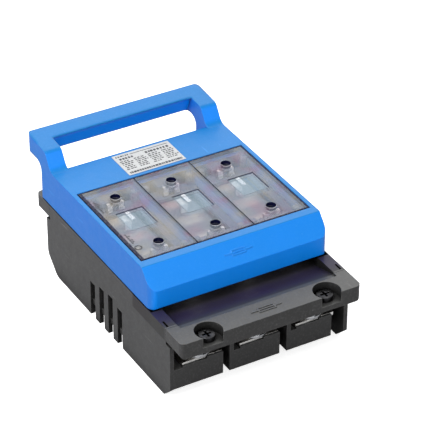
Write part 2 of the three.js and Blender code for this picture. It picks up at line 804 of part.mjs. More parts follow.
piece(base, "base_housing", baseHousing(), blackPlastic);
for (const [endName, end] of Object.entries(ENDS)) {
  piece(base, `${endName}_terminal_cover`, terminalCover(end), blackPlastic);
  for (const [sideName, side] of Object.entries(SIDES))
    piece(base, `fixing_screw_${endName}_${sideName}`, fixingScrew(side, end), blackenedSteel);
  for (const [pole, x] of Object.entries(POLES)) {
    piece(base, `contact_${pole}_${endName}`, contact(end), silveredCopper, x);
    piece(base, `jaw_spring_${pole}_${endName}`, jawSpring(end), springSteel, x);
    piece(base, `terminal_bolt_${pole}_${endName}`, terminalBolt(end), zincSteel, x);
    piece(base, `terminal_washer_${pole}_${endName}`, terminalWasher(end), zincSteel, x);
    piece(base, `terminal_nut_${pole}_${endName}`, terminalNut(end), zincSteel, x);
    piece(lid, `fuse_blade_${pole}_${endName}`, fuseBlade(end), silveredCopper, x);
  }
}
for (const [pole, x] of Object.entries(POLES)) {
  piece(base, `arc_chute_${pole}`, arcChute(), arcSteel, x);
  piece(lid, `fuse_body_${pole}`, fuseBody(), ceramic, x);
  piece(lid, `fuse_carrier_${pole}`, fuseCarrier(), greyPlastic, x);
  piece(lid, `window_${pole}`, windowPane(pole), smokedPlastic, x);
}
piece(lid, "lid_frame", lidFrame(), bluePlastic);
for (const [sideName, side] of Object.entries(SIDES)) {
  const pin = rod("x", [HINGE.y, HINGE.z], HINGE.pin, ...mirrored([FORK_X[0] + 0.2, 51.4], side));
  piece(lid, `hinge_pin_${sideName}`, pin, zincSteel);
}
piece(lid, "rating_label", block(LABEL.x, LABEL.y, LABEL.z), paper);

export default disconnector;
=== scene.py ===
import json
import math
import random

import bmesh
import bpy
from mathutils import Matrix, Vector


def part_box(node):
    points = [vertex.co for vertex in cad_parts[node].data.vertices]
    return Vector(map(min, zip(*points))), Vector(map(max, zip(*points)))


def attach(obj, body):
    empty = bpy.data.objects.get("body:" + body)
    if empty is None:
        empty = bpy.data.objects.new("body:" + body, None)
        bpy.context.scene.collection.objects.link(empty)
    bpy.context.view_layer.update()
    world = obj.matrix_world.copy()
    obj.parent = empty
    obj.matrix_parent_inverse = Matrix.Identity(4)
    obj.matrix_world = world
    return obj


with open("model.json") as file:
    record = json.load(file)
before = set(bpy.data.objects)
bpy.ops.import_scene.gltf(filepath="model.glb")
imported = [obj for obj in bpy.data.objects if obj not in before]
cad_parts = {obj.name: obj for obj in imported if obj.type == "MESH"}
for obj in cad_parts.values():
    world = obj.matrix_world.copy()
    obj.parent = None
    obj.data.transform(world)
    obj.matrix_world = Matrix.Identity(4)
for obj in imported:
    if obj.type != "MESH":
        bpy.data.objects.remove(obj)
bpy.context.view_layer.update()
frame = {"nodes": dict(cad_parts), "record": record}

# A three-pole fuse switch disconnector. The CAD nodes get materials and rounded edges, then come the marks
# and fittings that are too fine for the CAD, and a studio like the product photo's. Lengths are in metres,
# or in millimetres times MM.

MM = 0.001
POLES = ("left", "middle", "right")
END_SIDE = {"front": -1, "rear": 1}
SLOT_OF = {part["node"]: part["material_slot"] for part in frame["record"]["subparts"]}


def middle(node):
    low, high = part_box(node)
    return (low + high) / 2


POLE_X = {pole: middle(f"fuse_body_{pole}").x for pole in POLES}
PITCH = POLE_X["right"] - POLE_X["middle"]
FUSE_Y = middle("fuse_body_middle").y
FIELD_X, FIELD_Y = 7.7 * MM, 8.5 * MM  # half sizes of each window's sunk field
TEST_HOLE_Y = 23.5 * MM  # from the middle of a fuse link to each test hole
LID_LOW, LID_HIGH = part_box("lid_frame")
WINDOW_LOW, WINDOW_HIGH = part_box("window_left")


# ---------------------------------------------------------------- materials

class Graph:
    """A material's node graph with short calls for the nodes used here."""

    def __init__(self, name):
        self.material = bpy.data.materials.new(name)
        self.material.use_nodes = True
        self.tree = self.material.node_tree
        self.surface = self.tree.nodes["Principled BSDF"]
        self.output = self.tree.nodes["Material Output"]
        coordinates = self.add("ShaderNodeTexCoord")
        self.place = coordinates.outputs["Object"]
        self.x, self.y, self.z = self.split(self.place)
        self.facing = self.split(coordinates.outputs["Normal"])

    def add(self, kind, **values):
        node = self.tree.nodes.new(kind)
        for key, value in values.items():
            if hasattr(node, key):
                setattr(node, key, value)
            else:
                node.inputs[key].default_value = value
        return node

    def link(self, source, target):
        self.tree.links.new(source, target)

    def set(self, **values):
        """Principled inputs by name, with _ for a space: a number, a colour or another node's output."""
        for key, value in values.items():
            socket = self.surface.inputs[key.replace("_", " ")]
            if isinstance(value, tuple):
                socket.default_value = (*value, 1.0)
            elif isinstance(value, (int, float)):
                socket.default_value = value
            else:
                self.link(value, socket)

    def split(self, vector):
        node = self.add("ShaderNodeSeparateXYZ")
        self.link(vector, node.inputs[0])
        return node.outputs

    def math(self, operation, *values):
        node = self.add("ShaderNodeMath", operation=operation)
        for socket, value in zip(node.inputs, values):
            if isinstance(value, (int, float)):
                socket.default_value = value
            else:
                self.link(value, socket)
        return node.outputs[0]

    def noise(self, scale, detail=3.0, roughness=0.5, place=None):
        node = self.add("ShaderNodeTexNoise", Scale=scale, Detail=detail, Roughness=roughness)
        self.link(place or self.place, node.inputs["Vector"])
        return node.outputs["Fac"]

    def stretched(self, scale):
        node = self.add("ShaderNodeMapping")
        node.inputs["Scale"].default_value = scale
        self.link(self.place, node.inputs["Vector"])
        return node.outputs["Vector"]

    def ramp(self, source, *stops):
        node = self.add("ShaderNodeValToRGB")
        elements = node.color_ramp.elements
        while len(elements) < len(stops):
            elements.new(0.5)
        for element, (position, colour) in zip(elements, stops):
            element.position = position
            element.color = (*colour, 1.0)
        self.link(source, node.inputs["Fac"])
        return node.outputs["Color"]

    def span(self, source, start, end, low=0.0, high=1.0, smooth=False):
        """Maps start..end of the source to low..high, held at both ends."""
        node = self.add("ShaderNodeMapRange")
        if smooth:
            node.interpolation_type = "SMOOTHSTEP"
        for socket, value in zip(("From Min", "From Max", "To Min", "To Max"), (start, end, low, high)):
            node.inputs[socket].default_value = value
        self.link(source, node.inputs["Value"])
        return node.outputs["Result"]

    def within(self, source, centre, half, soft=0.0002):
        """1 where the source is within half of the centre, 0 outside."""
        distance = self.math("ABSOLUTE", self.math("SUBTRACT", source, centre))
        return self.span(distance, half - soft, half + soft, 1.0, 0.0)

    def times(self, first, *others):
        for other in others:
            first = self.math("MULTIPLY", first, other)
        return first

    def distance(self, a, b):
        return self.math("SQRT", self.math("ADD", self.times(a, a), self.times(b, b)))

    def from_pole(self):
        """How far a point lies to the right of its own pole's middle."""
        return self.math("WRAP", self.x, PITCH / 2, -PITCH / 2)

    def from_hole(self):
        """How far a point lies behind the middle of its own test hole."""
        from_front_hole = self.math("SUBTRACT", self.y, FUSE_Y - TEST_HOLE_Y)
        return self.math("WRAP", from_front_hole, TEST_HOLE_Y, -TEST_HOLE_Y)

    def mix(self, factor, first, second, blend="MIX"):
        node = self.add("ShaderNodeMixRGB", blend_type=blend)
        for socket, value in zip(("Fac", "Color1", "Color2"), (factor, first, second)):
            if isinstance(value, (int, float)):
                node.inputs[socket].default_value = value
            elif isinstance(value, tuple):
                node.inputs[socket].default_value = (*value, 1.0)
            else:
                self.link(value, node.inputs[socket])
        return node.outputs["Color"]

    def bump(self, height, strength, distance, rounding=0.0):
        """Raises the surface by a height pattern, on normals rounded at the edges where a radius is given."""
        node = self.add("ShaderNodeBump", Strength=strength, Distance=distance)
        self.link(height, node.inputs["Height"])
        if rounding:
            self.rounded = self.add("ShaderNodeBevel", Radius=rounding)
            self.rounded.samples = 6
            self.link(self.rounded.outputs["Normal"], node.inputs["Normal"])
        self.link(node.outputs["Normal"], self.surface.inputs["Normal"])

    def edges(self, width):
        """1 on edges and corners, 0 on flats: a rounded normal compared with the true one."""
        bevel = self.add("ShaderNodeBevel", Radius=width)
        bevel.samples = 4
        geometry = self.add("ShaderNodeNewGeometry")
        dot = self.add("ShaderNodeVectorMath", operation="DOT_PRODUCT")
        self.link(bevel.outputs["Normal"], dot.inputs[0])
        self.link(geometry.outputs["True Normal"], dot.inputs[1])
        return self.span(dot.outputs["Value"], 0.995, 0.85)

    def cavity(self, reach):
        """1 in the open, falling towards 0 in holes and under overhangs."""
        node = self.add("ShaderNodeAmbientOcclusion", Distance=reach)
        node.samples = 6
        return node.outputs["AO"]

    def blend_clear(self, tint, opaque):
        """Shows the surface where opaque is 1 and lets everything through, tinted, where it is 0."""
        clear = self.add("ShaderNodeBsdfTransparent")
        clear.inputs["Color"].default_value = (*tint, 1.0)
        mix = self.add("ShaderNodeMixShader")
        self.link(opaque, mix.inputs[0])
        self.link(clear.outputs[0], mix.inputs[1])
        self.link(self.surface.outputs[0], mix.inputs[2])
        self.link(mix.outputs[0], self.output.inputs["Surface"])

    def scratches(self, scale, direction, threshold):
        """Sparse hairlines along one direction."""
        lines = self.noise(scale, 2, 0.4, self.stretched(direction))
        patches = self.span(self.noise(60, 2), 0.45, 0.62)
        return self.times(self.span(lines, threshold, threshold + 0.05), patches)


def moulded_plastic(name, deep, side, pale, edge, rough, grain, rounding=0.3 * MM):
    """Satin moulded plastic: painted light and shade in one tone on its ends, one on its sides and a pale one
    where it faces up; slow flow marks, fine grain, a painted edge highlight and a few hairline scratches. The
    colour is left to be set."""
    g = Graph(name)
    flow = g.noise(48, 4, 0.55, g.stretched((1.0, 0.45, 1.0)))
    cloud = g.noise(16, 2)
    # Painted light and shade: the side tone where a face looks sideways, and the pale tone, broken by a cloud
    # pattern, where it looks up.
    up = g.span(g.facing[2], 0.45, 1.0, smooth=True)
    aside = g.span(g.math("ABSOLUTE", g.facing[0]), 0.4, 0.9, smooth=True)
    painted_top_tone = g.times(up, g.span(cloud, 0.25, 0.75, 0.86, 1.0))
    colour = g.mix(painted_top_tone, g.mix(aside, deep, side), pale)
    colour = g.mix(g.span(flow, 0.3, 0.75, 0.0, 0.16), colour, pale)
    colour = g.mix(g.span(g.noise(900, 2), 0.5, 0.75, 0.0, 0.10), colour, edge)
    # Painted highlight: the pale edge tone along edges and corners, broken up by noise.
    painted_edge_highlight = g.times(g.edges(0.5 * MM), g.span(g.noise(220, 3), 0.35, 0.65, 0.15, 0.75), 0.55)
    colour = g.mix(painted_edge_highlight, colour, edge)
    lines = g.scratches(700, (1.0, 0.08, 1.0), 0.70)
    colour = g.mix(g.times(lines, 0.35), colour, edge)
    roughness = g.span(g.noise(240, 3), 0.2, 0.8, rough - 0.05, rough + 0.07)
    g.set(IOR=1.45)
    grained = g.math("ADD", g.noise(2600, 2), g.times(g.noise(110, 2), 0.6))
    g.bump(grained, grain, 0.06 * MM, rounding)
    return g, colour, roughness


def black_plastic():
    """The base and covers, with painted shade: near black in cavities, and darker on the ramp before the lid,
    most of all under its front edge; the ramp is also polished and carries a painted purple reflection of the
    blue lid.
    """
    black, side, pale, edge = (0.028,) * 3, (0.042,) * 3, (0.078, 0.078, 0.076), (0.27,) * 3
    g, colour, roughness = moulded_plastic("black_plastic", black, side, pale, edge, 0.36, 0.12)
    ramp_foot_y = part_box("front_terminal_cover")[1].y - 2.8 * MM
    ramp_foot_z = 34.6 * MM
    lid_front = LID_LOW.y
    behind_cover = g.span(g.y, ramp_foot_y, ramp_foot_y + 0.6 * MM)
    top = g.times(g.span(g.z, ramp_foot_z, ramp_foot_z + 0.4 * MM), behind_cover)
    ramp = g.times(top, g.span(g.y, lid_front + 18 * MM, lid_front + 20 * MM, 1.0, 0.0))
    # Painted reflection: a purple tint of the blue lid on the ramp, strongest a little before the lid's
    # front.
    from_purple = g.math("ABSOLUTE", g.math("SUBTRACT", g.y, lid_front - 6 * MM))
    purple = g.span(from_purple, 3 * MM, 11 * MM, 1.0, 0.0, smooth=True)
    purple = g.times(purple, top, g.span(g.noise(40, 2), 0.3, 0.7, 0.55, 1.0), g.span(g.facing[2], 0.3, 0.6))
    shade_under_lid = g.times(ramp, g.span(g.y, lid_front - 2 * MM, lid_front + 5 * MM, smooth=True))
    # Painted shade: the ramp is darkened, and more so under the lid's front edge; the painted purple
    # reflection lies between.
    colour = g.mix(g.times(ramp, 0.55), colour, (0.016, 0.015, 0.014))
    colour = g.mix(g.times(purple, 0.85), colour, (0.026, 0.018, 0.060))
    colour = g.mix(g.times(shade_under_lid, 0.5), colour, (0.020, 0.015, 0.018))
    # Painted shade: cavities and faces under overhangs fade to near black and reflect less.
    open_air = g.span(g.cavity(12 * MM), 0.25, 0.85, 0.12, 1.0)
    shine = g.math("SUBTRACT", g.span(open_air, 0.1, 1.0, 0.15, 0.5), g.times(ramp, 0.25))
    g.set(Base_Color=g.mix(open_air, (0.003,) * 3, colour), Specular_IOR_Level=shine)
    g.set(Roughness=g.mix(ramp, roughness, (0.30,) * 3))
    return g.material


def blue_plastic():
    """The lid: painted shade in the joint round the windows, and softly rounded edges and a painted highlight
    on the grip's bar.
    """
    deep, side, pale, edge = (0.0, 0.26, 0.97), (0.01, 0.17, 0.64), (0.0, 0.185, 0.52), (0.06, 0.36, 0.86)
    g, colour, roughness = moulded_plastic("blue_plastic", deep, side, pale, edge, 0.40, 0.08, 0.7 * MM)
    near_windows = g.math("GREATER_THAN", g.y, WINDOW_LOW.y - 2 * MM)
    # Painted shade: the narrow joints round the windows darken to navy.
    joint = g.times(g.span(g.cavity(3 * MM), 0.35, 0.75, 0.75, 0.0), near_windows)
    colour = g.mix(joint, colour, (0.0, 0.03, 0.13))
    bar_front = LID_HIGH.y - 13 * MM
    on_bar = g.span(g.y, bar_front - MM, bar_front + MM)
    g.link(g.span(on_bar, 0.0, 1.0, 0.7 * MM, 2.6 * MM), g.rounded.inputs["Radius"])
    # Painted highlight: the front faces of the grip's bar are lightened to a brighter blue.
    bar_painted_highlight = g.times(on_bar, g.span(g.facing[1], -0.80, -0.90, 0.0, 0.8))
    g.set(Base_Color=g.mix(bar_painted_highlight, colour, (0.0, 0.36, 1.0)), Roughness=roughness)
    return g.material


def grey_plastic():
    """The fuse carriers, inside the lid."""
    deep, side, pale, edge = (0.15, 0.16, 0.20), (0.14, 0.15, 0.19), (0.17, 0.18, 0.24), (0.26, 0.27, 0.32)
    g, colour, roughness = moulded_plastic("grey_plastic", deep, side, pale, edge, 0.42, 0.10)
    g.set(Base_Color=colour, Roughness=roughness)
    return g.material


def window_shade_lines(g, from_pole, field):
    """Painted shade: dark lines round each sunk field and round the row of windows; the left one is the
    widest.
    """
    line, rim = 0.5 * MM, 0.9 * MM
    lined = g.times(
        g.within(from_pole, line / 2, FIELD_X + line / 2),
        g.within(g.y, FUSE_Y + line / 2, FIELD_Y + line / 2),
    )
    inner = g.times(
        g.span(g.x, WINDOW_LOW.x + 2 * rim, WINDOW_LOW.x + 2.4 * rim),
        g.math("LESS_THAN", g.x, -WINDOW_LOW.x - rim),
        g.within(g.y, (WINDOW_LOW.y + WINDOW_HIGH.y) / 2, (WINDOW_HIGH.y - WINDOW_LOW.y) / 2 - rim),
    )
    outline = g.math("ADD", g.math("SUBTRACT", lined, field), g.math("SUBTRACT", 1.0, inner))
    return g.times(outline, g.span(g.noise(700, 2), 0.3, 0.6, 0.85, 1.0))


def smoked_plastic():
    """Smoky clear plastic: its upper face is hazy and glossy, its lower face clear, its edges and test holes
    dark, partly the smoke seen edge-on and partly painted shade, with painted shade lines round the fields
    and windows and a painted highlight, a pale crescent, before each hole. Light falls through it on to the
    fuse links."""
    g = Graph("smoked_plastic")
    from_pole, from_hole = g.from_pole(), g.from_hole()
    field = g.times(g.within(from_pole, 0.0, FIELD_X), g.within(g.y, FUSE_Y, FIELD_Y))
    outline = window_shade_lines(g, from_pole, field)
    # Painted highlight: a pale crescent before each test hole.
    crescent = g.distance(g.math("ADD", from_pole, 0.2 * MM), g.math("ADD", from_hole, 0.55 * MM))
    lit = g.span(crescent, 2.6 * MM, 3.1 * MM, 0.6, 0.0)
    plum, slate, sand = (0.25, 0.16, 0.22), (0.19, 0.24, 0.30), (0.30, 0.28, 0.23)
    haze = g.ramp(g.noise(62, 3, 0.6), (0.36, plum), (0.49, slate), (0.64, sand))
    haze = g.mix(lit, g.mix(field, haze, (0.25, 0.35, 0.42)), (0.85, 0.85, 0.90))

    # The upright faces of the test holes, and of the pane's edges near its top, are near black: partly the
    # smoke seen edge-on, partly painted shade.
    upright = g.span(g.math("ABSOLUTE", g.facing[2]), 0.5, 0.7, 1.0, 0.0)
    near_hole = g.span(g.distance(from_pole, from_hole), 3.0 * MM, 3.4 * MM, 1.0, 0.0)
    near_top = g.span(g.z, WINDOW_HIGH.z - 2 * MM, WINDOW_HIGH.z - MM, 0.35, 1.0)
    side = g.times(upright, g.math("MAXIMUM", near_hole, near_top))
    dark = g.math("MAXIMUM", side, outline)
    g.set(Base_Color=g.mix(dark, haze, (0.004, 0.005, 0.030)), Roughness=0.12)
    g.set(Specular_IOR_Level=g.span(dark, 0.0, 1.0, 0.5, 0.1))
    g.bump(g.noise(120, 2), 0.05, 0.2 * MM)

    hazy = g.math("ADD", g.span(g.noise(40, 2), 0.3, 0.7, 0.28, 0.46), g.times(field, 0.05))
    hazy = g.math("ADD", hazy, g.span(from_pole, 7 * MM, 11 * MM, 0.0, 0.13, smooth=True))
    rear = g.span(g.y, WINDOW_HIGH.y - 14 * MM, WINDOW_HIGH.y - 7 * MM, 0.0, 0.13, smooth=True)
    hazy = g.math("MAXIMUM", g.math("MAXIMUM", g.math("ADD", hazy, rear), outline), lit)
    opaque = g.math("MAXIMUM", g.times(hazy, g.span(g.facing[2], -0.2, 0.2)), side)
    shadow = g.add("ShaderNodeLightPath").outputs["Is Shadow Ray"]
    g.blend_clear((0.95, 0.95, 0.97), g.times(opaque, g.span(shadow, 0.0, 1.0, 1.0, 0.25)))
    return g.material


def collar_painted_shade():
    """The collars round the test holes: near black inside, as painted shade in each hole, and clear from
    outside, so that the lugs show.
    """
    g = Graph("collar_painted_shade")
    outward = g.math("ADD", g.times(g.facing[0], g.from_pole()), g.times(g.facing[1], g.from_hole()))
    front_side = g.math("SUBTRACT", 1.0, g.add("ShaderNodeNewGeometry").outputs["Backfacing"])
    dark = g.times(g.math("LESS_THAN", outward, -0.5 * MM), front_side)
    g.set(Base_Color=g.ramp(g.noise(900, 2), (0.3, (0.004, 0.005, 0.020)), (0.7, (0.010, 0.012, 0.035))))
    g.set(Roughness=0.4)
    g.blend_clear((0.93, 0.93, 0.95), g.math("MAXIMUM", dark, 0.04))
    return g.material


def metal(name, dark, light, rough, stretch, end_highlight=0.0):
    """Metal with fine drawn lines along one axis and faint stains, with painted highlights: bright edges, and
    pale faces towards the front and back where an end highlight is given.
    """
    g = Graph(name)
    lines = g.noise(400, 4, 0.6, g.stretched(stretch))
    stains = g.span(g.noise(180, 3), 0.3, 0.7, 0.0, 0.5)
    colour = g.mix(stains, g.ramp(lines, (0.3, dark), (0.7, light)), dark)
    # Painted highlight: the light tone along edges and corners.
    colour = g.mix(g.times(g.edges(0.3 * MM), 0.6), colour, light)
    # Painted highlight: faces that look to the front or back turn pale and lose their metal sheen, as
    # strongly as the given highlight.
    ends = g.span(g.math("ABSOLUTE", g.facing[1]), 0.7, 0.9, 0.0, end_highlight)
    g.set(Base_Color=g.mix(ends, colour, (0.93, 0.93, 0.92)), Metallic=g.math("SUBTRACT", 1.0, ends))
    g.set(Roughness=g.span(lines, 0.2, 0.8, rough - 0.08, rough + 0.12))
    g.bump(lines, 0.15, 0.04 * MM)
    return g.material


def fuse_ceramic():
    """Steatite with a thin uneven glaze. Its top is cream at its ends and middle, and bluish grey between."""
    g = Graph("fuse_ceramic")
    tone = g.ramp(g.noise(70, 4, 0.6), (0.3, (0.58, 0.49, 0.39)), (0.7, (0.76, 0.67, 0.56)))
    from_middle = g.math("ABSOLUTE", g.math("SUBTRACT", g.y, FUSE_Y))
    ends = g.span(from_middle, 11 * MM, 17 * MM, smooth=True)
    centre = g.span(from_middle, 2 * MM, 6 * MM, 1.0, 0.0, smooth=True)
    across = g.within(g.from_pole(), -1 * MM, 6 * MM, 3 * MM)
    cream = g.times(g.math("MAXIMUM", ends, g.times(centre, 0.7)), across)
    banded = g.times(g.span(g.facing[2], 0.6, 0.9), g.math("SUBTRACT", 1.0, cream))
    tone = g.mix(g.times(banded, 0.9), tone, (0.15, 0.165, 0.20))
    pits = g.times(g.span(g.noise(1300, 2), 0.66, 0.72), 0.5)
    g.set(Base_Color=g.mix(pits, tone, (0.30, 0.25, 0.20)))
    g.set(Roughness=g.span(g.noise(300), 0.2, 0.8, 0.26, 0.45))
    g.bump(g.noise(700, 3), 0.2, 0.1 * MM)
    return g.material


def label_paper():
    """Matt paper with a faint fibre pattern."""
    g = Graph("label_paper")
    g.set(Base_Color=g.ramp(g.noise(600, 3), (0.3, (0.52, 0.53, 0.53)), (0.7, (0.60, 0.61, 0.61))))
    g.set(Roughness=g.span(g.noise(400), 0.2, 0.8, 0.45, 0.6))
    g.bump(g.noise(1500, 2), 0.1, 0.03 * MM)
    return g.material


def print_ink(name, dark, light):
    """Matt printing ink, a little uneven."""
    g = Graph(name)
    g.set(Base_Color=g.ramp(g.noise(900, 2), (0.3, dark), (0.7, light)), Roughness=0.6)
    return g.material


def metals():
    """Each metal by name: its darkest and lightest tone, its roughness, how its drawn lines are stretched
    and, where it is given, how pale the painted highlight on its faces towards the front and back is."""
    kinds = {
        "silvered_copper": ((0.52, 0.49, 0.44), (0.86, 0.83, 0.77), 0.32, (1.0, 0.15, 1.0), 0.85),
        "polished_copper": ((0.75, 0.73, 0.69), (0.95, 0.94, 0.90), 0.20, (1.0, 0.15, 1.0)),
        "zinc_steel": ((0.42, 0.43, 0.45), (0.82, 0.83, 0.85), 0.24, (1.0, 1.0, 0.2)),
        "blackened_steel": ((0.010, 0.010, 0.011), (0.085, 0.085, 0.09), 0.26, (1.0, 1.0, 0.3)),
        "spring_steel": ((0.33, 0.34, 0.36), (0.55, 0.56, 0.58), 0.3, (1.0, 0.2, 1.0)),
        "arc_steel": ((0.22, 0.22, 0.23), (0.42, 0.42, 0.43), 0.42, (0.3, 1.0, 1.0)),
    }
    return {name: metal(name, *values) for name, values in kinds.items()}


MATERIALS = {
    "black_plastic": black_plastic(),
    "blue_plastic": blue_plastic(),
    "grey_plastic": grey_plastic(),
    "smoked_plastic": smoked_plastic(),
    "collar_painted_shade": collar_painted_shade(),
    "fuse_ceramic": fuse_ceramic(),
    "label_paper": label_paper(),
    "print_ink": print_ink("print_ink", (0.02, 0.02, 0.025), (0.07, 0.07, 0.08)),
    "grey_ink": print_ink("grey_ink", (0.06, 0.06, 0.07), (0.14, 0.14, 0.15)),
    **metals(),
}


# ---------------------------------------------------------------- CAD nodes: rounded edges

EDGE_WIDTH = {  # in millimetres, where it isn't OTHER_EDGE_WIDTH
    "base_housing": 0.35,
    "front_terminal_cover": 0.45,
    "rear_terminal_cover": 0.45,
    "lid_frame": 0.6,
    "rating_label": 0.05,
    "window_left": 0.12,
    "window_middle": 0.12,
    "window_right": 0.12,
}
OTHER_EDGE_WIDTH = 0.2


def soften(obj, width):
    """Rounds a CAD node's sharp edges without touching its mesh. Faces are joined where they are flat and
    cut into triangles again, so that the rounded edges start from a clean surface."""
    weld = obj.modifiers.new("weld", "WELD")
    weld.merge_threshold = 0.002 * MM
    flat = obj.modifiers.new("flat", "DECIMATE")
    flat.decimate_type = "DISSOLVE"
    flat.angle_limit = math.radians(0.3)
    obj.modifiers.new("triangles", "TRIANGULATE")
    bevel = obj.modifiers.new("edges", "BEVEL")
    bevel.width = width * MM
    bevel.segments = 2
    bevel.limit_method = "ANGLE"
    bevel.angle_limit = math.radians(32)
    bevel.use_clamp_overlap = True
    bevel.miter_outer = "MITER_ARC"
    normals = obj.modifiers.new("normals", "WEIGHTED_NORMAL")
    normals.keep_sharp = True
    obj.data.shade_smooth()


for name, obj in frame["nodes"].items():
    obj.data.materials.clear()
    obj.data.materials.append(MATERIALS[SLOT_OF[name]])
    soften(obj, EDGE_WIDTH.get(name, OTHER_EDGE_WIDTH))


# ---------------------------------------------------------------- added pieces: mesh helpers

def new_piece(name, mesh, slot, *finishes):
    """Turns a mesh into a piece that rides on the lid, with its slot's material unless others are named."""
    obj = bpy.data.objects.new(name, bpy.data.meshes.new(name))
    mesh.to_mesh(obj.data)
    mesh.free()
    for finish in finishes or (slot,):
        obj.data.materials.append(MATERIALS[finish])
    bpy.context.scene.collection.objects.link(obj)
    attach(obj, "lid")


def circle(radius, steps):
    """Points round a circle as (a, b) pairs."""
    angles = [2 * math.pi * k / steps for k in range(steps)]
    return [(radius * math.cos(angle), radius * math.sin(angle)) for angle in angles]


def band(mesh, near, far):
    """New faces between two closed loops of vertices."""
    faces = []
    for k in range(len(near)):
        after = (k + 1) % len(near)
        faces.append(mesh.faces.new((near[k], near[after], far[after], far[k])))
    return faces


def lathe(mesh, outline, steps, spot):
    """A closed ring turned from (radius, height) points; spot gives a point's place from (a, b, height)."""
    loops = [[mesh.verts.new(spot(a, b, height)) for a, b in circle(r, steps)] for r, height in outline]
    for near, far in zip(loops, loops[1:] + loops[:1]):
        band(mesh, near, far)
    bmesh.ops.recalc_face_normals(mesh, faces=mesh.faces)


def dome(mesh, levels, steps, spot):
    """A closed turned button from (radius, lift) levels, flat at both ends."""
    loops = [[mesh.verts.new(spot(a, b, lift)) for a, b in circle(r, steps)] for r, lift in levels]
    for near, far in zip(loops, loops[1:]):
        band(mesh, near, far)
    mesh.faces.new(loops[0])
    mesh.faces.new(loops[-1])


def strip(mesh, origin, outline, start, end, finish):
    """A bent strip: an outline of (y, z) points in millimetres, extruded from start to end along x."""
    loops = [[mesh.verts.new(origin + Vector((x, y, z)) * MM) for y, z in outline] for x in (start, end)]
    faces = [mesh.faces.new(loops[0][::-1]), mesh.faces.new(loops[1]), *band(mesh, *loops)]
    for face in faces:
        face.material_index = finish
    bmesh.ops.recalc_face_normals(mesh, faces=faces)
    bmesh.ops.triangulate(mesh, faces=[face for face in faces if len(face.verts) > 4])


# ---------------------------------------------------------------- added pieces: printed marks

class Print:
    """Thin closed plates on a plane, measured in millimetres from the plane's corner."""

    THICK = 0.05

    def __init__(self, seed):
        self.mesh = bmesh.new()
        self.random = random.Random(seed)

    def aim(self, corner, across, along):
        """Chooses the plane: its corner and the directions that a and b are measured along."""
        self.corner, self.across, self.along = Vector(corner), Vector(across), Vector(along)
        self.normal = self.across.cross(self.along)

    def at(self, a, b, lift):
        return self.corner + (self.across * a + self.along * b + self.normal * lift) * MM

    def dash(self, a, b, length, height):
        corners = [(a, b), (a + length, b), (a + length, b + height), (a, b + height)]
        low = [self.mesh.verts.new(self.at(*corner, 0)) for corner in corners]
        high = [self.mesh.verts.new(self.at(*corner, self.THICK)) for corner in corners]
        self.mesh.faces.new(high)
        self.mesh.faces.new(low[::-1])
        band(self.mesh, low, high)

    def words(self, start, end, b, height, widest):
        """Greeked words: a row of dashes of random length with random gaps."""
        a = start
        while a < end - 0.6:
            length = min(self.random.uniform(0.5, widest), end - a)
            self.dash(a, b, length, height)
            a += length + self.random.uniform(0.35, 0.8)

    def ring(self, a, b, radius, width):
        outline = [(radius - width, 0), (radius, 0), (radius, self.THICK), (radius - width, self.THICK)]
        lathe(self.mesh, outline, 20, lambda across, along, lift: self.at(a + across, b + along, lift))


def label_print():
    """Greeked print: a heading with a rule, a bold pair, four small columns and a bold last line."""
    low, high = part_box("rating_label")
    sheet = Print(3)
    sheet.aim((low.x, low.y, high.z), (1, 0, 0), (0, 1, 0))
    wide, tall = (high.x - low.x) / MM, (high.y - low.y) / MM
    margin = 1.4
    right = wide - margin
    heading, bold_row, first_row = tall - 2.6, tall - 5.6, tall - 7.6
    sheet.words(margin, 9, heading, 1.1, 1.6)
    sheet.dash(10, heading + 0.3, wide - 11.5, 0.4)
    sheet.words(margin + 1, 10.5, bold_row, 1.6, 1.5)
    sheet.words(18, right, bold_row, 1.7, 1.6)
    for row in range(6):
        for column in range(4):
            start = margin + column * 8.2 + sheet.random.uniform(0, 0.8)
            sheet.words(start, start + sheet.random.uniform(5.2, 7.4), first_row - 1.65 * row, 0.8, 1.8)
    a = margin
    while a < right:
        length = sheet.random.uniform(0.6, 1.6)
        sheet.dash(a, 1.1, min(length, right - a), 1.6)
        a += length + sheet.random.uniform(0.25, 0.45)
    new_piece("label_print", sheet.mesh, "label_paper", "print_ink")


def window_marks():
    """Small generic marks on the left window's edge: greeked words behind, words and a ring before."""
    sheet = Print(5)
    sheet.aim((WINDOW_LOW.x, WINDOW_LOW.y, WINDOW_HIGH.z), (1, 0, 0), (0, 1, 0))
    for first, last in ((48.0, 59.5), (15.5, 24.0)):
        b = first
        while b < last:
            length = sheet.random.uniform(0.8, 1.4)
            sheet.dash(3.2, b, 0.9, length)
            if sheet.random.random() < 0.6:
                sheet.dash(4.4, b, 0.8, 0.8 * length)
            b += length + sheet.random.uniform(0.35, 0.7)
    sheet.ring(4.1, 11.0, 2.1, 0.7)
    new_piece("window_marks", sheet.mesh, "smoked_plastic", "print_ink")


def fuse_print(pole):
    """The printed field on both broad faces of a fuse link: a framed block of greeked rows."""
    low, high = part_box(f"fuse_body_{pole}")
    left, right, bottom, top = 5.0, 41.0, 6.0, 33.9
    line, gap = 0.5, 0.05
    sheet = Print(11)
    for sign, x, y in ((-1, low.x, high.y), (1, high.x, low.y)):
        sheet.aim((x, y, low.z), (0, sign, 0), (0, 0, 1))
        for b in (bottom, top - line):
            sheet.dash(left, b, right - left, line)
        for a in (left, right - line):
            sheet.dash(a, bottom + line + gap, line, top - bottom - 2 * (line + gap))
        sheet.words(8, 24, 27, 3.0, 2.8)
        sheet.words(28, 38, 27, 3.0, 2.2)
        for row in range(6):
            sheet.words(8, sheet.random.uniform(26, 38), 22.6 - 2.6 * row, 1.1, 3.2)
    new_piece(f"fuse_print_{pole}", sheet.mesh, "fuse_ceramic", "grey_ink")


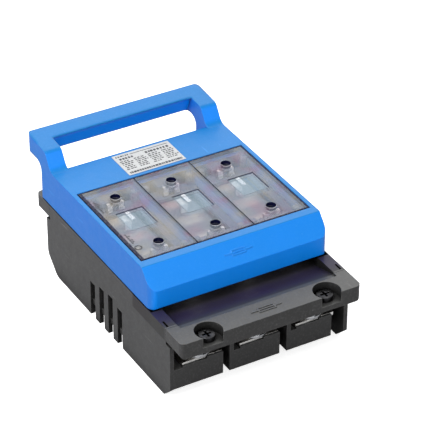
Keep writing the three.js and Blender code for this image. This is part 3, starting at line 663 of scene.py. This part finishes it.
# ---------------------------------------------------------------- added pieces: small fittings

def indicator(pole):
    """The blown-fuse indicator on a link: a polished sprung flap on a bent foot, and its dull plate."""
    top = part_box(f"fuse_body_{pole}")[1].z
    origin = Vector((POLE_X[pole], FUSE_Y, top))
    flap = [(16.2, 0.0), (16.2, 5.2), (15.6, 5.8), (7.6, 5.9), (7.0, 5.5), (7.6, 5.4), (15.2, 5.3)]
    flap += [(15.6, 4.9), (15.6, 0.5), (11.0, 0.5), (11.0, 0.0)]
    plate = [(14.6, 4.4), (14.6, 4.9), (8.2, 5.0), (7.6, 4.2)]
    plate += [(7.6, 0.0), (8.1, 0.0), (8.1, 4.1), (8.6, 4.5)]
    mesh = bmesh.new()
    strip(mesh, origin, flap, 1.2, 3.5, 0)
    strip(mesh, origin, plate, -2.8, 1.0, 1)
    new_piece(f"fuse_indicator_{pole}", mesh, "silvered_copper", "polished_copper", "silvered_copper")


def collar(pole, end, side):
    """The short collar moulded round a test hole, under the window; its foot clears the lug. Its bore is near
    black: painted shade in the hole.
    """
    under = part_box(f"window_{pole}")[0].z / MM
    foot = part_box(f"fuse_blade_{pole}_{end}")[1].z / MM + 0.25
    bore, wall, root = 2.78, 3.6, 3.8
    rim = [(bore, foot), (bore + 0.2, foot - 0.1), (wall - 0.2, foot - 0.1), (wall, foot)]
    outline = [*rim, (root, under), (bore, under)]
    centre = Vector((POLE_X[pole], FUSE_Y + side * TEST_HOLE_Y, 0))
    mesh = bmesh.new()
    lathe(mesh, outline, 32, lambda x, y, z: centre + Vector((x, y, z)) * MM)
    new_piece(f"window_shade_collar_{pole}_{end}", mesh, "smoked_plastic", "collar_painted_shade")


def rivets(pole, end, side):
    """Four domed rivets that hold an end plate of a fuse link."""
    body_low, body_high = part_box(f"fuse_body_{pole}")
    seat = {"front": body_low.y, "rear": body_high.y}[end] + side * 2.1 * MM
    levels = ((1.45, 0.0), (1.4, 0.25), (1.1, 0.55), (0.6, 0.75))
    mesh = bmesh.new()
    for x in (-7.4, 7.4):
        for z in (17.5, 49.5):
            centre = Vector((POLE_X[pole] + x * MM, seat, z * MM))
            dome(mesh, levels, 16, lambda a, b, lift: centre + Vector((a, side * lift, b)) * MM)
    bmesh.ops.recalc_face_normals(mesh, faces=mesh.faces)
    for face in mesh.faces:
        face.smooth = len(face.verts) == 4
    new_piece(f"fuse_rivets_{pole}_{end}", mesh, "zinc_steel")


label_print()
window_marks()
for pole in POLES:
    fuse_print(pole)
    indicator(pole)
    for end, side in END_SIDE.items():
        rivets(pole, end, side)
        collar(pole, end, side)


# ---------------------------------------------------------------- stage, light, camera

def floor():
    """A pale floor, brighter to the camera than to the object, so that it doesn't light the sides much."""
    half = 3.0
    mesh = bpy.data.meshes.new("floor")
    corners = [(-half, -half, 0.0), (half, -half, 0.0), (half, half, 0.0), (-half, half, 0.0)]
    mesh.from_pydata(corners, [], [(0, 1, 2, 3)])
    plane = bpy.data.objects.new("floor", mesh)
    bpy.context.scene.collection.objects.link(plane)
    g = Graph("floor")
    seen = g.add("ShaderNodeLightPath").outputs["Is Camera Ray"]
    pale = g.ramp(g.noise(4, 2), (0.3, (0.93, 0.93, 0.93)), (0.7, (0.95, 0.95, 0.95)))
    g.set(Base_Color=g.mix(seen, (0.42, 0.42, 0.43), pale), Roughness=0.9)
    g.set(Emission_Color=(1.0, 1.0, 1.0), Emission_Strength=g.times(seen, 0.72))
    mesh.materials.append(g.material)


def area_light(name, place, size, power):
    """A soft rectangular lamp aimed at the middle of the object."""
    data = bpy.data.lights.new(name, "AREA")
    data.shape = "RECTANGLE"
    data.size, data.size_y = size
    data.energy = power
    light = bpy.data.objects.new(name, data)
    bpy.context.scene.collection.objects.link(light)
    light.location = place
    target = Vector((0.0, 0.0, 0.04))
    light.rotation_euler = (target - Vector(place)).to_track_quat("-Z", "Y").to_euler()


def studio():
    """A white surround and four lamps. The back one glints on the faces that look up."""
    world = bpy.data.worlds.new("studio")
    world.use_nodes = True
    background = world.node_tree.nodes["Background"]
    background.inputs["Color"].default_value = (1.0, 1.0, 1.0, 1.0)
    background.inputs["Strength"].default_value = 0.34
    bpy.context.scene.world = world
    area_light("key", (-0.50, -0.20, 0.95), (0.6, 0.6), 7.5)
    area_light("back", (0.48, 0.85, 0.74), (1.6, 1.2), 9)
    area_light("left", (-1.10, 0.25, 0.50), (0.8, 0.8), 5)
    area_light("fill", (-0.15, -1.30, 0.70), (1.2, 0.8), 7)
    bpy.context.scene.view_settings.view_transform = "Standard"


def camera():
    """The product view: front left, from 33 degrees above."""
    data = bpy.data.cameras.new("camera")
    data.sensor_width = 36
    data.lens = 195.77
    data.clip_start, data.clip_end = 0.05, 20
    view = bpy.data.objects.new("camera", data)
    bpy.context.scene.collection.objects.link(view)
    view.location = (-0.50656, -0.89717, 0.73720)
    view.rotation_euler = [math.radians(angle) for angle in (56.505, -0.215, -29.956)]
    bpy.context.scene.camera = view


floor()
studio()
camera()
